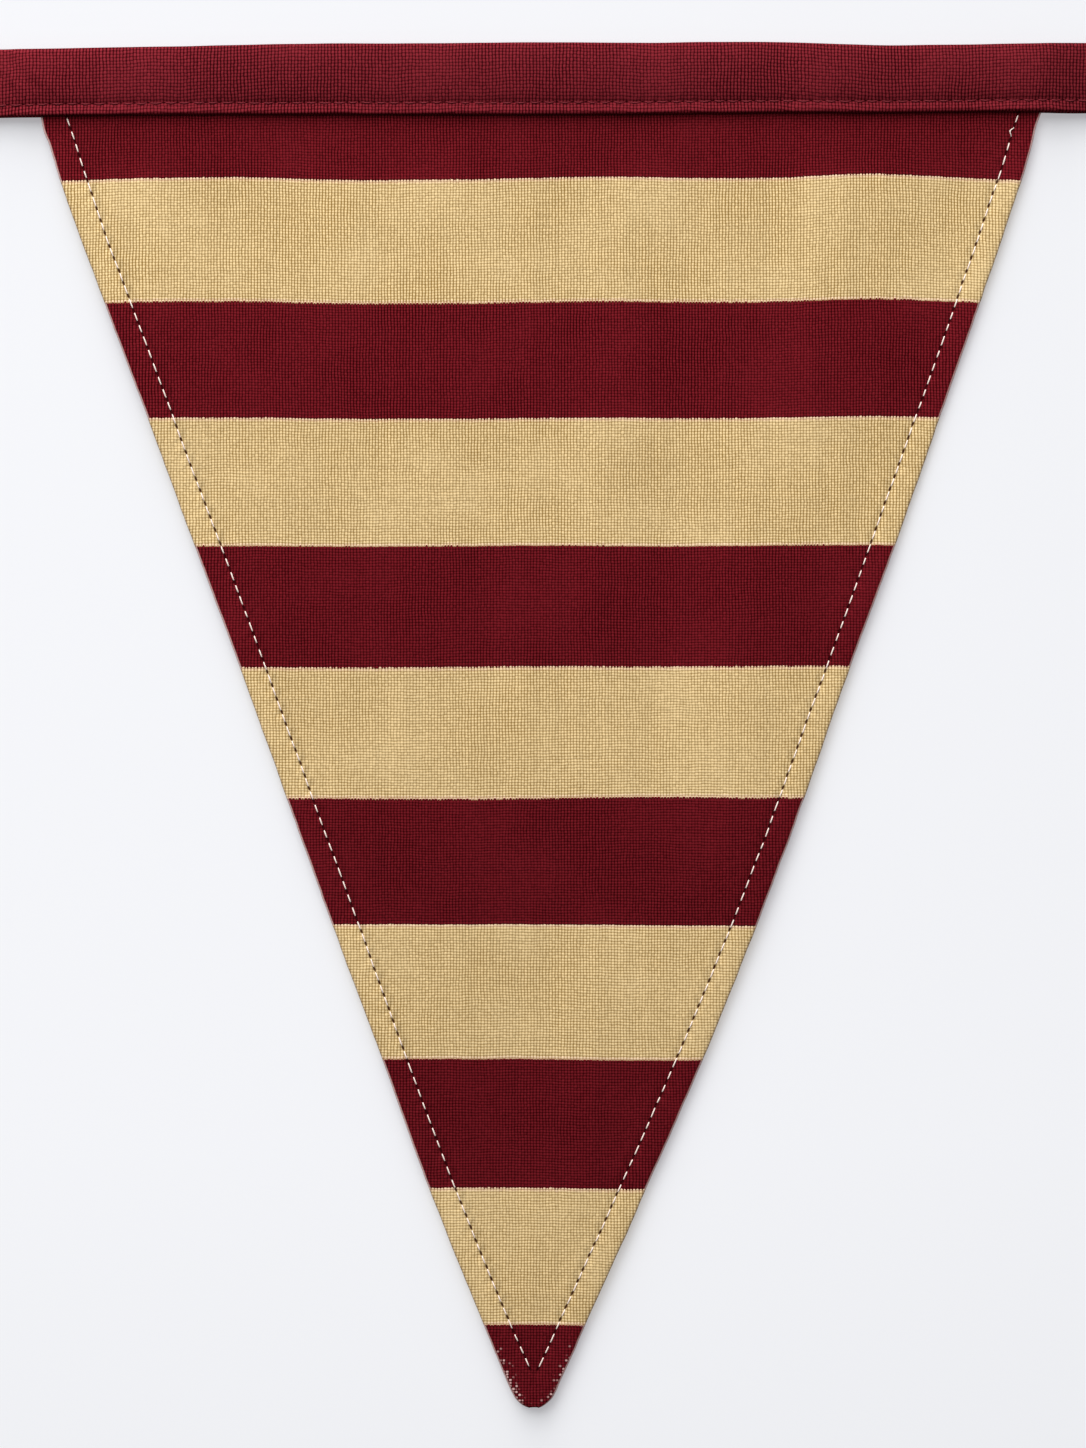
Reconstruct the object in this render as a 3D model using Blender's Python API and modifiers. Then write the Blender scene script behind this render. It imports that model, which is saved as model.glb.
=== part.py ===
"""A triangular cloth pennant hanging from a folded heading tape.

Metres, +Z up. The origin is the middle of the tape's top edge, on the plane of the tape's back.
The front faces -Y. Tables are in millimetres, as a maker would measure the flag, and are
turned to metres where they are read.
"""
import math

import bmesh
import bpy

COLLECTION = "pennant_bunting"
MM = 0.001

# Cloth
CLOTH = 0.0010
CLEARANCE = 0.0003
LAYER_STEP = CLOTH + CLEARANCE

# Heading tape, a strip folded lengthways over the pennant's top
TAPE_HALF_LENGTH = 0.118
TAPE_DROP = 0.0142
TAPE_SECTIONS = 40
FOLD_SEGMENTS = 5
OPEN_HALF = 0.1012
SLIM_HALF = 0.1080
TAPE_BACK_ROWS = (0.0, 0.45, 0.88)
TAPE_WOBBLE = 0.25
TAPE_WOBBLE_LENGTH = 0.037
SLIM_SWELL = 0.4

# The line of the tape: along it, its top edge and its lower edge, in millimetres
TAPE_LINE = (
    (-118, -1.2, -14.7),
    (-97, -0.9, -14.4),
    (-73, -0.5, -14.2),
    (-49, 0.0, -14.2),
    (-22, 0.1, -14.2),
    (4, 0.3, -14.2),
    (20, 0.2, -14.1),
    (40, 0.4, -13.9),
    (56, 0.1, -13.8),
    (70, -0.3, -13.8),
    (80, -0.2, -13.7),
    (97, 0.1, -13.6),
    (118, 0.3, -13.7),
)

# The tape's front, from its fold down: share of the height, and how far it swells forward in mm.
# The dip is the sewn row, and the last swell is the lip below it.
TAPE_FRONT = (
    (0.16, 0.10),
    (0.38, 0.34),
    (0.64, 0.30),
    (0.835, 0.00),
    (0.92, 0.22),
    (1.00, 0.02),
)

# Pennant, hemmed along both sides
PENNANT_TOP = 0.0032
HEM_WIDTH = 0.0060
HEM_SPARE = 0.0003
HEM_STATIONS = 2
INNER_COLUMNS = 24
ROWS_PER_STRIPE = 3
INNER_SET_BACK = 0.0005
SET_BACK_RUN = 0.0070

# The outline at the pennant's folded edges: depth below the origin, left and right, in millimetres
OUTLINE = (
    (14.2, -100.4, 99.7),
    (16.3, -100.1, 98.9),
    (19.7, -98.8, 98.0),
    (26.9, -96.5, 95.7),
    (51.8, -87.6, 87.4),
    (74.9, -79.0, 79.4),
    (100.4, -69.6, 70.4),
    (124.6, -60.6, 61.5),
    (150.9, -51.2, 52.2),
    (175.9, -42.3, 42.8),
    (202.9, -32.2, 32.0),
    (228.6, -22.9, 20.7),
    (242.9, -17.3, 14.4),
    (256.2, -11.8, 8.4),
    (262.1, -9.4, 5.8),
    (266.4, -7.6, 3.8),
    (269.3, -6.3, 2.5),
    (270.7, -5.5, 1.7),
    (271.6, -4.8, 1.0),
    (272.1, -4.3, 0.5),
    (272.4, -3.7, -0.1),
)

# Depths of the lower edges of the stripes, in millimetres; the first stripe is burgundy
STRIPE_EDGES = (26.9, 51.8, 74.9, 100.4, 124.6, 150.9, 175.9, 202.9, 228.6, 256.2)

# Depths of the rows that shape the tip, in millimetres
TIP_ROWS = (259.5, 262.1, 266.4, 269.3, 270.7, 271.6, 272.1, 272.4)

# How the first stripe's lower edge waves: along the tape and upwards, in millimetres
STRIPE_WAVE = (
    (-96, -0.5),
    (-80, 0.0),
    (-62, 0.3),
    (-42, -0.3),
    (-18, -0.25),
    (6, 0.3),
    (48, 0.2),
    (67, 0.9),
    (82, 0.3),
    (96, -0.5),
)
WAVE_END = 0.125

# Soft folds: x at the upper end, x at the lower end, half width, swell to the front,
# depth of the upper end and of the lower end, all in millimetres
FOLDS = (
    (-88, -72, 8, 0.45, 14, 90),
    (-70, -58, 8, -0.30, 14, 120),
    (-52, -36, 9, -0.40, 70, 190),
    (-30, -22, 10, 0.40, 14, 150),
    (4, 6, 10, -0.25, 14, 110),
    (30, 24, 9, -0.40, 60, 160),
    (46, 40, 9, 0.45, 70, 200),
    (62, 56, 8, 0.40, 14, 80),
    (84, 72, 7, -0.30, 14, 110),
    (-6, -4, 9, -0.35, 180, 250),
    (10, 6, 7, 0.35, 190, 258),
)

# How the cloth comes forward as it hangs: everywhere, at the right edge and at the tip,
# and the depths over which each begins
HANG_FORWARD = 0.0003
RIGHT_LIFT = 0.0004
TIP_LIFT = 0.0005
HANG_RUN = (0.016, 0.034)
RIGHT_LIFT_RUN = (0.06, 0.20)
TIP_LIFT_RUN = (0.20, 0.27)

# Colours as sRGB hex, and the finish
BURGUNDY = "60141A"
GOLD = "D0B37D"
TAPE_BURGUNDY = "671B22"
COTTON_ROUGHNESS = 0.88


def linear_colour(hex_text):
    """Turns an sRGB hex colour into linear red, green, blue and alpha."""
    channels = [int(hex_text[at:at + 2], 16) / 255 for at in (0, 2, 4)]
    linear = [c / 12.92 if c <= 0.04045 else ((c + 0.055) / 1.055) ** 2.4 for c in channels]
    return (*linear, 1.0)


def cotton(name, hex_text):
    """Makes a plain matt cotton."""
    material = bpy.data.materials.new(name)
    material.use_nodes = True
    shader = material.node_tree.nodes["Principled BSDF"]
    shader.inputs["Base Color"].default_value = linear_colour(hex_text)
    shader.inputs["Roughness"].default_value = COTTON_ROUGHNESS
    shader.inputs["Metallic"].default_value = 0.0
    return material


def ease(start, end, value):
    """Rises smoothly from 0 at start to 1 at end."""
    share = min(max((value - start) / (end - start), 0.0), 1.0)
    return share * share * (3 - 2 * share)


def along(table, position, column):
    """Reads a column of a millimetre table at a position in metres, on a smooth curve."""
    at = position / MM
    last = len(table) - 1
    if at <= table[0][0]:
        return table[0][column] * MM
    if at >= table[last][0]:
        return table[last][column] * MM
    k = max(i for i in range(last) if table[i][0] <= at)
    before, start, end, after = (table[min(max(i, 0), last)] for i in (k - 1, k, k + 1, k + 2))
    run = end[0] - start[0]
    rise = end[column] - start[column]
    slope_in = (end[column] - before[column]) / (end[0] - before[0])
    slope_out = (after[column] - start[column]) / (after[0] - start[0])
    t = (at - start[0]) / run
    bend = t * (1 - t) * ((1 - t) * (slope_in * run - rise) - t * (slope_out * run - rise))
    return (start[column] + rise * t + bend) * MM


def tape_top(x):
    return along(TAPE_LINE, x, 1)


def tape_bottom(x):
    return along(TAPE_LINE, x, 2)


def tape_opening(x):
    """How open the tape is: 1 over the pennant, 0 where it is folded flat on itself."""
    return ease(SLIM_HALF, OPEN_HALF, abs(x))


def tape_section(x):
    """Returns the tape's middle line at x, from the back's lower edge over the fold to the front's."""
    top = tape_top(x)
    bottom = tape_bottom(x)
    opening = tape_opening(x)
    radius = LAYER_STEP * (1 + opening) / 2
    fold_z = top - CLOTH / 2 - radius
    back_y = -CLOTH / 2
    points = [(x, back_y, bottom + (fold_z - bottom) * share) for share in TAPE_BACK_ROWS]
    for step in range(FOLD_SEGMENTS + 1):
        angle = math.pi * step / FOLD_SEGMENTS
        points.append((x, back_y - radius + radius * math.cos(angle), fold_z + radius * math.sin(angle)))
    wobble = 1 + TAPE_WOBBLE * math.sin(math.tau * x / TAPE_WOBBLE_LENGTH)
    fullness = wobble * (SLIM_SWELL + (1 - SLIM_SWELL) * opening)
    for share, forward in TAPE_FRONT:
        front_layer_y = back_y - radius * 2 - forward * MM * fullness
        points.append((x, front_layer_y, top + (bottom - top) * share))
    return points


def outline(depth):
    """Returns the x of the pennant's left and right folded edges at a depth."""
    return along(OUTLINE, depth, 1), along(OUTLINE, depth, 2)


def height(x, depth):
    """Returns the z of a cloth point: the tape's line above, and the stripes' soft wave below it."""
    if depth <= TAPE_DROP:
        share = depth / TAPE_DROP
        return tape_top(x) * (1 - share) + tape_bottom(x) * share
    first_edge = STRIPE_EDGES[0] * MM
    under_tape = (tape_bottom(x) + TAPE_DROP) * (1 - ease(TAPE_DROP, first_edge, depth))
    wave = along(STRIPE_WAVE, x, 1) * ease(TAPE_DROP, first_edge, depth) * (1 - ease(first_edge, WAVE_END, depth))
    return -depth + under_tape + wave


def swell(x, depth):
    """Returns how far the hanging folds bring the cloth forward at a point."""
    total = 0.0
    for x_top, x_bottom, half_width, lift, upper, lower in FOLDS:
        share = (depth / MM - upper) / (lower - upper)
        if not 0 < share < 1:
            continue
        centre = x_top + (x_bottom - x_top) * share
        across = math.exp(-((x / MM - centre) / half_width) ** 2)
        total += lift * MM * across * math.sin(math.pi * share)
    return total


def front_y(x, depth):
    """Returns the y of the front layer's middle: the interior lies a little behind the hems."""
    left, right = outline(depth)
    inside = min(x - left, right - x)
    settled = ease(*HANG_RUN, depth)
    set_back = INNER_SET_BACK * ease(HEM_WIDTH, HEM_WIDTH + SET_BACK_RUN, inside)
    across = (x - left) / (right - left)
    edge = RIGHT_LIFT * ease(0.5, 1.0, across) * ease(*RIGHT_LIFT_RUN, depth)
    tip = TIP_LIFT * ease(*TIP_LIFT_RUN, depth)
    forward = HANG_FORWARD + swell(x, depth) + edge + tip - set_back
    return -CLOTH / 2 - LAYER_STEP - settled * forward


def pennant_section(depth):
    """Returns a row of the pennant's middle surface, from one hem's free edge round to the other's."""
    left, right = outline(depth)
    turn = LAYER_STEP / 2
    inset = CLOTH / 2 + turn
    reach = min(HEM_WIDTH, (right - left) / 2 - HEM_SPARE)
    hem_run = [inset + (reach - inset) * step / HEM_STATIONS for step in range(HEM_STATIONS + 1)]
    angles = [math.pi * step / FOLD_SEGMENTS for step in range(1, FOLD_SEGMENTS)]

    def fold(edge, inward):
        x = edge + inward * inset
        middle_y = front_y(x, depth) + turn
        return [(x - inward * turn * math.sin(a), middle_y + turn * math.cos(a)) for a in angles]

    def flap(edge, inward):
        return [(edge + inward * d, front_y(edge + inward * d, depth) + LAYER_STEP) for d in reversed(hem_run)]

    front = [left + d for d in hem_run[:-1]]
    inner_width = right - left - 2 * reach
    front += [left + reach + inner_width * step / INNER_COLUMNS for step in range(INNER_COLUMNS + 1)]
    front += [right - d for d in reversed(hem_run[:-1])]

    row = flap(left, 1) + fold(left, 1)
    row += [(x, front_y(x, depth)) for x in front]
    row += list(reversed(fold(right, -1))) + list(reversed(flap(right, -1)))
    return [(x, y, height(x, depth)) for x, y in row]


def pennant_depths():
    """Returns the depth of each row, with rows on every stripe's edge."""
    hem_start = TAPE_DROP + CLEARANCE
    depths = [PENNANT_TOP, (PENNANT_TOP + hem_start) / 2, hem_start]
    above = hem_start
    for edge in STRIPE_EDGES:
        below = edge * MM
        depths += [above + (below - above) * step / ROWS_PER_STRIPE for step in range(1, ROWS_PER_STRIPE + 1)]
        above = below
    return depths + [row * MM for row in TIP_ROWS]


def cloth_sheet(name, sections, materials, collection):
    """Makes a sheet of cloth: a grid laid on the sections, thickened to both sides."""
    rows = len(sections) - 1
    columns = len(sections[0]) - 1
    shape = bmesh.new()
    bmesh.ops.create_grid(shape, x_segments=columns, y_segments=rows, size=1.0)
    for vertex in shape.verts:
        column = round((vertex.co.x + 1) / 2 * columns)
        row = round((vertex.co.y + 1) / 2 * rows)
        vertex.co = sections[row][column]
    mesh = bpy.data.meshes.new(name)
    shape.to_mesh(mesh)
    shape.free()
    for material in materials:
        mesh.materials.append(material)
    sheet = bpy.data.objects.new(name, mesh)
    collection.objects.link(sheet)
    solidify = sheet.modifiers.new("cloth thickness", "SOLIDIFY")
    solidify.thickness = CLOTH
    solidify.offset = 0.0
    solidify.use_even_offset = True
    return sheet


def build_tape(collection):
    """Makes the heading tape."""
    step = 2 * TAPE_HALF_LENGTH / TAPE_SECTIONS
    sections = [tape_section(-TAPE_HALF_LENGTH + step * k) for k in range(TAPE_SECTIONS + 1)]
    return cloth_sheet("heading_tape", sections, [cotton("tape_cotton", TAPE_BURGUNDY)], collection)


def stripe_of(depth):
    """Returns 0 for a burgundy stripe and 1 for a gold one."""
    return sum(depth > edge * MM for edge in STRIPE_EDGES) % 2


def build_pennant(collection):
    """Makes the pennant: one cloth with its side hems folded to the back below the tape."""
    depths = pennant_depths()
    sections = [pennant_section(depth) for depth in depths]
    materials = [cotton("burgundy_cotton", BURGUNDY), cotton("gold_cotton", GOLD)]
    pennant = cloth_sheet("pennant", sections, materials, collection)

    hem_columns = HEM_STATIONS + FOLD_SEGMENTS
    columns = len(sections[0]) - 1
    shape = bmesh.new()
    shape.from_mesh(pennant.data)
    shape.faces.ensure_lookup_table()
    in_tape = []
    for face in shape.faces:
        row, column = divmod(face.index, columns)
        face.material_index = stripe_of((depths[row] + depths[row + 1]) / 2)
        beside_front = column < hem_columns or column >= columns - hem_columns
        if depths[row + 1] <= TAPE_DROP + CLEARANCE and beside_front:
            in_tape.append(face)
    bmesh.ops.delete(shape, geom=in_tape, context="FACES")
    shape.to_mesh(pennant.data)
    shape.free()
    return pennant


def main():
    for thing in list(bpy.data.objects):
        bpy.data.objects.remove(thing, do_unlink=True)
    collection = bpy.data.collections.new(COLLECTION)
    bpy.context.scene.collection.children.link(collection)
    build_tape(collection)
    build_pennant(collection)


main()
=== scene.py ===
"""Dresses a hanging cotton pennant, striped burgundy and gold, and the folded tape that heads it.

The cloth is worked out in millimetres, as a maker would measure it, with x to the right, y out
of the back and depth down from the tape's top edge. It is turned to metres as each mesh is made.
"""

import math

import bpy
import numpy as np
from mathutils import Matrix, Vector, noise


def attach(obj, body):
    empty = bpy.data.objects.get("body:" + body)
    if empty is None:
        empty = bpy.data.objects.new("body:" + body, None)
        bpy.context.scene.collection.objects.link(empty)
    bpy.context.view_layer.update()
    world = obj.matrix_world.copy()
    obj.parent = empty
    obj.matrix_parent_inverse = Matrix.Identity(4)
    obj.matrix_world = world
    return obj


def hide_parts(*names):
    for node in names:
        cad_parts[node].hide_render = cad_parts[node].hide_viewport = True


MM = 0.001

# The photograph's frame and scale
PHOTO_WIDTH = 1086
PHOTO_HEIGHT = 1448
PIXELS_PER_MM = 5.0
ORIGIN_PIXEL = (543, 44)
CAMERA_DISTANCE = 0.80
SENSOR = 36.0

# Cloth: thickness, and the step from one layer to the next where it is folded on itself
CLOTH = 0.42
PLY_STEP = 0.52

# Heading tape, a strip with its long edges turned in, folded over the pennant's top
TAPE_HALF_LENGTH = 118.0
TAPE_DROP = 14.2
TAPE_BACK_Y = -0.28
TAPE_TURN_IN = 7.0
TAPE_TOP_WAVER = 0.07
TAPE_LIP_WAVER = 0.08
TAPE_COLUMNS = 336

# Fullness of the tape: full as far as the first x, where it holds the pennant, and slim from the
# second; how much of the swell is left there, and how much the swell changes along the tape
TAPE_FULL_X = 101.2
TAPE_SLIM_X = 108.0
SLIM_SWELL = 0.45
SWELL_CHANGE = 0.35

# Ends of the tape: the length pressed closed, how far it closes and narrows, and the seam across
# it, with the share of the tape's height where the seam starts and its number of holes
END_TUCK = 2.4
END_CLOSED = 0.6
END_NARROWED = 0.07
END_SEAM_X = 114.6
END_SEAM_TOP = 0.16
END_SEAM_HOLES = 5

# Soft creases across the tape's ends: x at the top, run to the right, half width, lift
END_CREASES = (
    (-110.5, 10.0, 1.1, 0.26),
    (-105.5, 11.0, 1.3, 0.24),
    (104.0, -3.0, 1.5, -0.24),
)

# Line of the tape: x, top edge, lower edge of the front, how much lower the back's edge hangs
TAPE_LINE = (
    (-118, -1.2, -14.8, 0.10),
    (-97, -0.9, -14.4, 0.10),
    (-73, -0.5, -14.2, 0.10),
    (-49, 0.0, -14.2, 0.05),
    (-22, 0.1, -14.2, 0.05),
    (4, 0.3, -14.2, 0.05),
    (20, 0.2, -14.1, 0.05),
    (40, 0.4, -13.9, 0.05),
    (56, 0.1, -13.8, 0.05),
    (70, -0.3, -13.8, 0.05),
    (80, -0.2, -13.7, 0.05),
    (97, 0.1, -13.6, 0.10),
    (118, 0.3, -13.7, 0.15),
)

# Painted light and shade at the tape's ends, lighter at the left end and darker at the right: from
# this x, to this x, brightness there
TAPE_END_LIGHT_AND_SHADE = (
    (-55.0, -112.0, 1.15),
    (97.0, 103.0, 0.90),
)

# Share of the tape's height over which its end creases fade out
CREASE_FADE = (0.5, 0.8)

# Front of the tape: share of its height, and how far it swells forward; the dip is the sewn row
TAPE_FRONT = (
    (0.06, 0.04),
    (0.12, 0.20),
    (0.22, 0.39),
    (0.36, 0.51),
    (0.52, 0.47),
    (0.66, 0.32),
    (0.77, 0.10),
    (0.815, -0.12),
    (0.835, -0.22),
    (0.855, -0.15),
    (0.890, 0.08),
    (0.930, 0.30),
    (0.975, 0.40),
)
TAPE_SEAM_SHARE = 0.835

# Points round the tape's section: shares of a turned-in edge; rows round the back's lower fold, up
# the back, round the top fold, down the front in two runs, and round the lip
TURNED_IN = (0.0, 0.33, 0.66, 1.0)
BACK_FOLD_ROWS = 7
BACK_ROWS = 9
TOP_FOLD_ROWS = 10
FRONT_ROWS = 14
LIP_ROWS = 8

# Share of the back's height that is flat, and the runs of shares of the front's height
BACK_FLAT = 0.97
ABOVE_SEAM = (0.15, 0.78)
SEAM_AND_LIP = (0.795, TAPE_FRONT[-1][0])

# Pennant: depth of its top edge, y inside the tape and where it hangs, and its hems, which start
# just below the tape and keep clear of each other at the tip
PENNANT_TOP = 3.2
PENNANT_TAPE_Y = TAPE_BACK_Y - 2 * PLY_STEP
PENNANT_HANG_Y = -1.15
HEM_TOP = TAPE_DROP + 0.1
HEM_REACH = 6.2
HEM_CLEARANCE = 0.3
FOLD_TURN = PLY_STEP / 2
FOLD_INSET = CLOTH / 2 + FOLD_TURN

# Grid of points that the pennant is built on
IN_TAPE_ROWS = 9
ROW_STEP = 0.8
TIP_ROW_STEP = 0.35
TIP_ROWS_FROM = 262.0
TIP_DEPTH = 272.4
INNER_COLUMNS = 64
FLAP_COLUMNS = 5
FOLD_COLUMNS = 6
MARGIN_COLUMNS = 10

# Outline at the folded edges: depth, left, right
OUTLINE = (
    (14.2, -100.4, 99.7),
    (16.3, -100.1, 98.9),
    (19.7, -98.8, 98.0),
    (26.9, -96.5, 95.7),
    (51.8, -87.6, 87.4),
    (74.9, -79.0, 79.4),
    (100.4, -69.6, 70.4),
    (124.6, -60.6, 61.5),
    (150.9, -51.2, 52.2),
    (175.9, -42.3, 42.8),
    (202.9, -32.2, 32.0),
    (228.6, -22.9, 20.7),
    (242.9, -17.3, 14.4),
    (256.2, -11.8, 8.4),
    (262.1, -9.4, 5.8),
    (266.4, -7.6, 3.8),
    (269.3, -6.3, 2.5),
    (270.7, -5.5, 1.7),
    (271.6, -4.6, 0.7),
    (272.1, -3.9, 0.0),
    (272.4, -3.0, -0.7),
)

# How far those edges waver, in soft and in fine waves
SOFT_WAVER = 0.10
FINE_WAVER = 0.07

# Topstitch line: depth, left, right
SEAM_LINE = (
    (14.2, -95.3, 95.2),
    (19.0, -93.7, 93.6),
    (29.0, -90.4, 90.3),
    (39.0, -87.1, 87.0),
    (49.0, -83.4, 83.6),
    (59.0, -79.7, 80.2),
    (69.0, -76.0, 76.7),
    (79.0, -72.4, 73.1),
    (99.0, -64.9, 65.9),
    (119.0, -57.5, 58.8),
    (139.0, -50.3, 51.5),
    (159.0, -43.1, 44.2),
    (179.0, -35.9, 36.5),
    (199.0, -28.7, 28.3),
    (219.0, -21.3, 19.6),
    (239.0, -13.6, 10.7),
    (259.0, -5.2, 1.7),
    (264.8, -2.6, -1.0),
)
SEAM_END = SEAM_LINE[-1][0]
SEAM_STEPS = 500

# Depths of the stripes' lower edges; the first stripe is burgundy
STRIPE_EDGES = (27.1, 51.8, 75.0, 100.4, 124.7, 150.9, 176.3, 203.1, 229.0, 256.2)
STRIPE_HEIGHT = 25.0

# Edge of a stripe: how far it steps from thread to thread, how ragged it is besides, the shift
# that evens both out, and how far the rosier gold reaches in from it
EDGE_STEP = 0.42
EDGE_RAGGED = 0.14
EDGE_BACK = 0.32
EDGE_ROW = 0.55

# Pale worn threads at the tip: how far in they reach, the depth from which they show, and how
# many there are on the left and on the right
TIP_WEAR = 2.8
TIP_WEAR_FROM = 252.0
WEAR_SHARES = (0.95, 0.60)

# Pale line along the folds, a painted highlight on the folded edges that also stands for pale fuzz:
# its width, its soft edge, and its strength on burgundy and on gold
FOLD_HIGHLIGHT_WIDTH = 0.47
FOLD_HIGHLIGHT_SOFTNESS = 0.12
FOLD_HIGHLIGHT_STRENGTH = (0.80, 0.10)

# How the first stripe's lower edge waves: x, upwards
STRIPE_WAVE = (
    (-96, -0.5),
    (-80, 0.0),
    (-62, 0.3),
    (-42, -0.3),
    (-18, -0.25),
    (6, 0.3),
    (48, 0.2),
    (67, 0.9),
    (82, 0.3),
    (96, -0.5),
)

# Depth where that wave has gone, and how far the lower stripes waver
WAVE_END = 125.0
LOWER_WAVER = 0.35

# Soft folds: x above, x below, half width, swell to the front, depth of upper end, of lower end
FOLDS = (
    (-88, -72, 8, 0.83, 14, 90),
    (-70, -58, 7, -0.68, 14, 120),
    (-52, -36, 9, -0.60, 70, 190),
    (-45, -40, 6, 0.45, 14, 80),
    (-30, -22, 8, 0.68, 14, 150),
    (-14, -10, 6, -0.38, 60, 130),
    (4, 6, 9, -0.52, 14, 110),
    (16, 14, 5, 0.45, 14, 90),
    (30, 24, 8, -0.75, 14, 160),
    (46, 40, 9, 0.83, 70, 200),
    (62, 56, 8, 0.75, 14, 80),
    (84, 72, 7, -0.60, 14, 110),
    (-6, -4, 9, -0.68, 170, 250),
    (10, 6, 7, 0.68, 180, 258),
)

# Height of the small lumps all over the cloth
SMALL_LUMPS = 0.12

# Depths between which the cloth comes to hang free of the tape
HANG_RUN = (15.0, 30.0)

# How far the right half and the tip stand forward, and the depths between which they come to it
RIGHT_LIFT = 0.15
RIGHT_LIFT_RUN = (60.0, 200.0)
TIP_LIFT = 0.15
TIP_LIFT_RUN = (200.0, 270.0)

# Hem: distance from the folded edge, how far it stands forward of the cloth inside it.
# It is drawn for a seam this far in, and is stretched to where the seam runs.
HEM_PROFILE = (
    (0.0, 0.10),
    (0.9, 0.27),
    (2.4, 0.31),
    (3.7, 0.26),
    (4.5, 0.04),
    (5.2, 0.03),
    (7.0, -0.06),
    (12.0, -0.05),
    (20.0, 0.0),
)
HEM_PROFILE_SEAM = 4.5

# Stitches: from hole to hole, thread thickness, and the share of a stitch that shows on top
SIDE_STITCH = 2.75
SIDE_THREAD = 0.27
SIDE_SHOWS = 0.68
TAPE_STITCH = 2.8
TAPE_THREAD = 0.30
TAPE_SHOWS = 0.80

# How uneven the sewing is: the holes, as a share of a stitch; the tape's row, as a share of its
# height; the gaps beside a stitch; the sideways bow of the tape's stitches; one slack stitch
NEEDLE_JITTER = 0.09
TAPE_ROW_JITTER = 0.006
GAP_SPREAD = (0.6, 1.4)
TAPE_STITCH_BOW = 0.16
SLACK_STITCH_DEPTH = 19.4
SLACK = 0.55

# Shape of a stitch: rings of points along it, sides of a ring, how far its two plies part, and
# how often they turn round each other
STITCH_RINGS = 13
THREAD_SIDES = 10
PLY_DEPTH = 0.13
PLY_TURNS = 2.2

# How a stitch lies, in thread radii: its rise out of the holes, and its dip in them; then the
# share of its width left in the holes, of its height when pressed flat, and of a bow that lifts
STITCH_RISE = 2.1
STITCH_DIP = 1.25
WIDTH_IN_HOLE = 0.70
PRESSED = 0.85
BOW_LIFT = 0.4

# Threads of the plain weave. Real ones lie 0.59 mm apart across and 0.54 mm down, which is
# hardly three pixels of the render, so they are drawn a little coarser.
WARP_PITCH = 0.62
WEFT_PITCH = 0.57
TAPE_PITCH = 0.67

# How far threads wander from their places, and the size of their drifts and of the more ribbed
# regions of the cloth
STRIPED_WANDER = 0.9
TAPE_WANDER = 1.2
THREAD_DRIFT = 10.0
RIBBED_REGION = 20.0

# Roundness of the upright threads' bumps, near the top and lower down, and the run between; how
# far they sink at their ends for it, and the roundness above which they fill the grooves
STRIPED_ROUNDNESS = (0.50, 0.70)
TAPE_ROUNDNESS = (0.50, 0.50)
ROUNDER_RUN = (60.0, 150.0)
WARP_SINK = 0.85
GROOVES_FILL_FROM = 0.42

# Grooves between the columns of threads, from shallow to deep; height of the threads that run
# across, where they go under, and their rise; how unlike the crossings are
GROOVES = (0.42, 1.02)
WEFT_LOW = 0.42
WEFT_RISE = 0.60
PROUD = (0.87, 1.03)

# Fibres on the threads: how many to a millimetre, and their share in the relief
FIBRES_PER_MM = 2.2
FIBRE_RELIEF = 0.28
THREAD_FIBRES_PER_METRE = 2500.0

# Relief of the cloth: height of the threads, depth of a needle hole, and how far on along the
# seam a pucker runs, in stitches for each millimetre away from it
THREAD_RELIEF = 0.055
HOLE_DEPTH = 0.15
PUCKER_SLANT = 0.22

# Puckers and dark edge of a hole: mm from the seam where a pucker starts to fade, and the share
# of the hole's size over which the dark fades
PUCKER_FROM = 0.2
HOLE_FADE = (0.60, 1.25)

# Relief between which the cloth grows from its dark colour, painted shade between the threads, to
# its light colour, painted light on top of them, and between which a worn thread grows pale
LIT_RELIEF = (0.26, 1.14)
PEAK_RELIEF = (0.71, 1.06)

# Unevenness of the dye: size of its clouds, and streaks to a millimetre across and down
DYE_CLOUD = 20.0
STREAKS_PER_MM = (0.35, 0.012, 0.0)

# Stripes between which the burgundy darkens, painted shade of the light's falloff down the cloth,
# and its brightness at the end
FALLOFF_SHADE_RUN = (2.5, 6.5)
FALLOFF_SHADE_DARKEST = 0.85

# Colours of dyed cloth, between the threads and on top of them: the dye's colour, darker between the
# threads as painted shade and lighter on top as painted light
BURGUNDY = ("2A0001", "781B24")
GOLD = ("8D6C34", "EED29E")
EDGE_GOLD = ("996E40", "F6D8B2")
TAPE_BURGUNDY = ("2C0003", "8A2832")

# Colours of worn threads, also used for a painted highlight along the folds; of painted shade in the
# needle holes; and of the sewing threads
PALE_WEAR_AND_HIGHLIGHT = "ECC4BF"
# Painted shade in the needle holes, on burgundy, on gold and on the tape
IN_BURGUNDY_HOLE = "34060A"
IN_GOLD_HOLE = "42200F"
IN_TAPE_HOLE = "38060A"
CREAM = "FFEDE2"
TONAL = "6C1C25"

# Wall: its paper's colours above and below, the lower one lighter as painted light against the
# softboxes' falloff, and their heights in metres; how many mm it is behind the tape; its glow,
# painted light that lifts the shadows on it; and its size in metres
PAPER = ("B7B8BB", "C7C8CB")
PAPER_RUN = (0.01, -0.22)
WALL_GAP = 0.9
WALL_GLOW = 0.36
WALL_SIZE = 6.0

# Floor: its colour, its depth in mm and its size in metres
FLOOR = "BEBFC1"
FLOOR_DEPTH = 420.0
FLOOR_SIZE = 2.4

# Light of the room, where it falls on things and where it is seen
ROOM = "FAFBFF"
ROOM_LIGHT = 0.20
ROOM_SEEN = 0.90

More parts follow.
